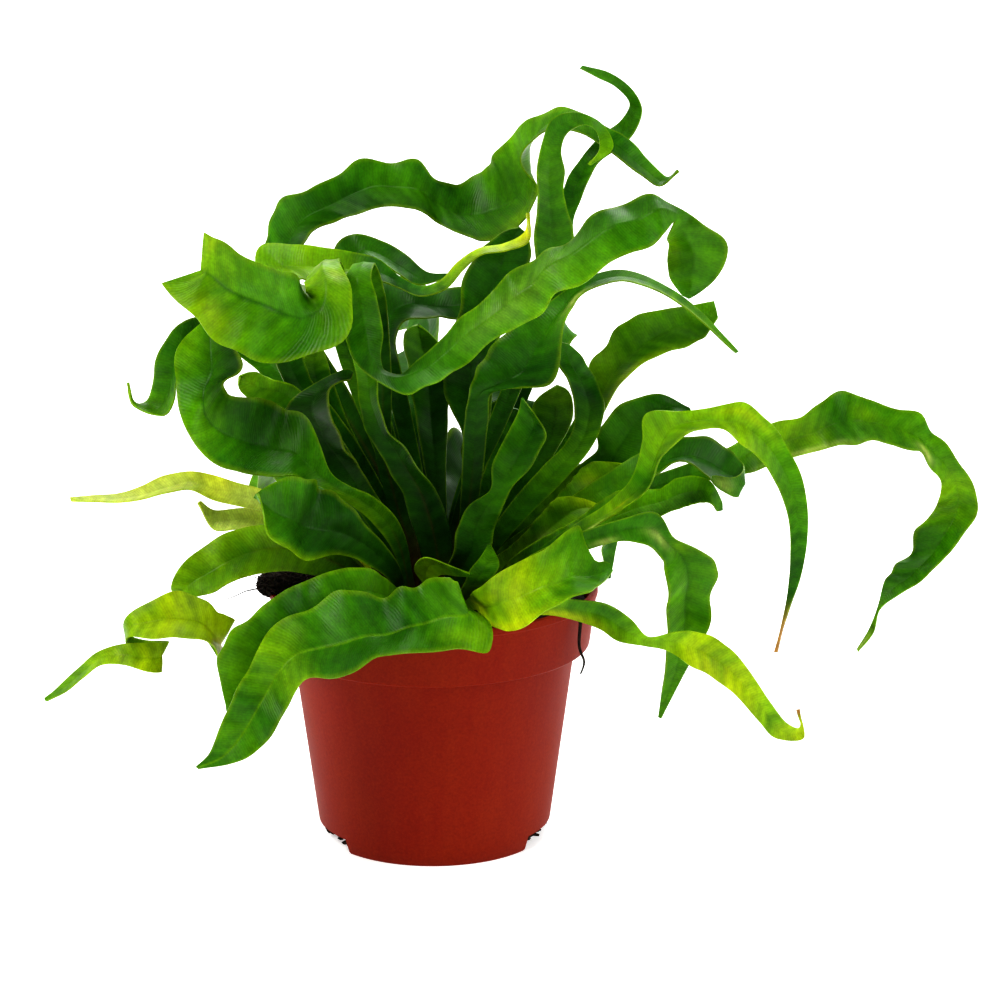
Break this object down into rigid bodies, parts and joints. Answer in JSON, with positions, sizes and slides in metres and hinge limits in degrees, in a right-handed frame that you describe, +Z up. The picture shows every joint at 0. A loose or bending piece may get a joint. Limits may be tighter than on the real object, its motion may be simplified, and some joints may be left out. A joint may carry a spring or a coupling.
{
  "type": "potted bird's nest fern",
  "caption": "Bird's nest fern with long, twisted, wavy-edged strap fronds in every green, arching from a crown in a terracotta-coloured plastic nursery pot.",
  "frame": {"origin": "centre of the pot's underside, on the surface that it stands on", "axes": "+Z up along the pot's axis, -Y towards the plant's front, +X to the right seen from the front"},
  "size_m": [0.3384, 0.2651, 0.284],
  "materials": {
    "pot": "satin",
    "soil": "rough peat",
    "crown": "rough and scaly",
    "roots": "matt, fibrous",
    "frond_light": "satin leaf",
    "frond_yellow": "satin leaf",
    "frond_mid": "satin leaf",
    "frond_dark": "satin leaf"
  },
  "bodies": {
    "root": {"pot": "pot", "soil": "soil", "crown": "crown", "root_mat": "roots", "hanging_root": "roots", "frond_front_yellow": "frond_yellow", "frond_front_left_long": "frond_light", "frond_right_low_tail": "frond_yellow", "frond_front_left_under": "frond_mid", "frond_front_small_left": "frond_mid", "frond_front_small_right": "frond_mid", "frond_right_hanging_long": "frond_light", "frond_right_hanging_short": "frond_mid", "frond_right_cup": "frond_mid", "frond_right_ruffled": "frond_light", "frond_left_cup": "frond_mid", "frond_center_right_upright": "frond_mid", "frond_right_mid_low": "frond_mid", "frond_upright_top_left": "frond_light", "frond_big_diagonal": "frond_mid", "frond_left_big_arch": "frond_light", "frond_left_low_spiral": "frond_light", "frond_left_yellow_thin": "frond_yellow", "frond_left_yellow_short": "frond_yellow", "frond_yellow_curl": "frond_yellow", "frond_right_arc_thin": "frond_dark", "frond_center_hood": "frond_dark", "frond_right_inner": "frond_dark", "frond_left_mid_fold": "frond_mid", "frond_left_mid_dark": "frond_dark", "frond_left_mid_tip": "frond_light", "frond_right_mid": "frond_mid", "frond_right_dark_leaf": "frond_dark", "frond_upper_left_dark": "frond_dark", "frond_top_center": "frond_mid", "frond_right_inner_light": "frond_light", "frond_center_fill": "frond_mid", "frond_right_far_arch": "frond_mid", "frond_right_round_leaf": "frond_light", "frond_back_center_dark": "frond_dark", "frond_back_arch": "frond_dark", "frond_top_right_tip": "frond_mid", "frond_left_back_dark": "frond_dark", "frond_back_cross_dark": "frond_dark", "frond_center_back_upright": "frond_dark", "frond_right_back_dark": "frond_dark", "frond_rear_right_low": "frond_mid", "frond_rear_right": "frond_mid", "frond_rear_center_right": "frond_dark", "frond_rear_center_left": "frond_mid", "frond_rear_left": "frond_mid", "frond_rear_left_low": "frond_light"}
  },
  "joints": []
}
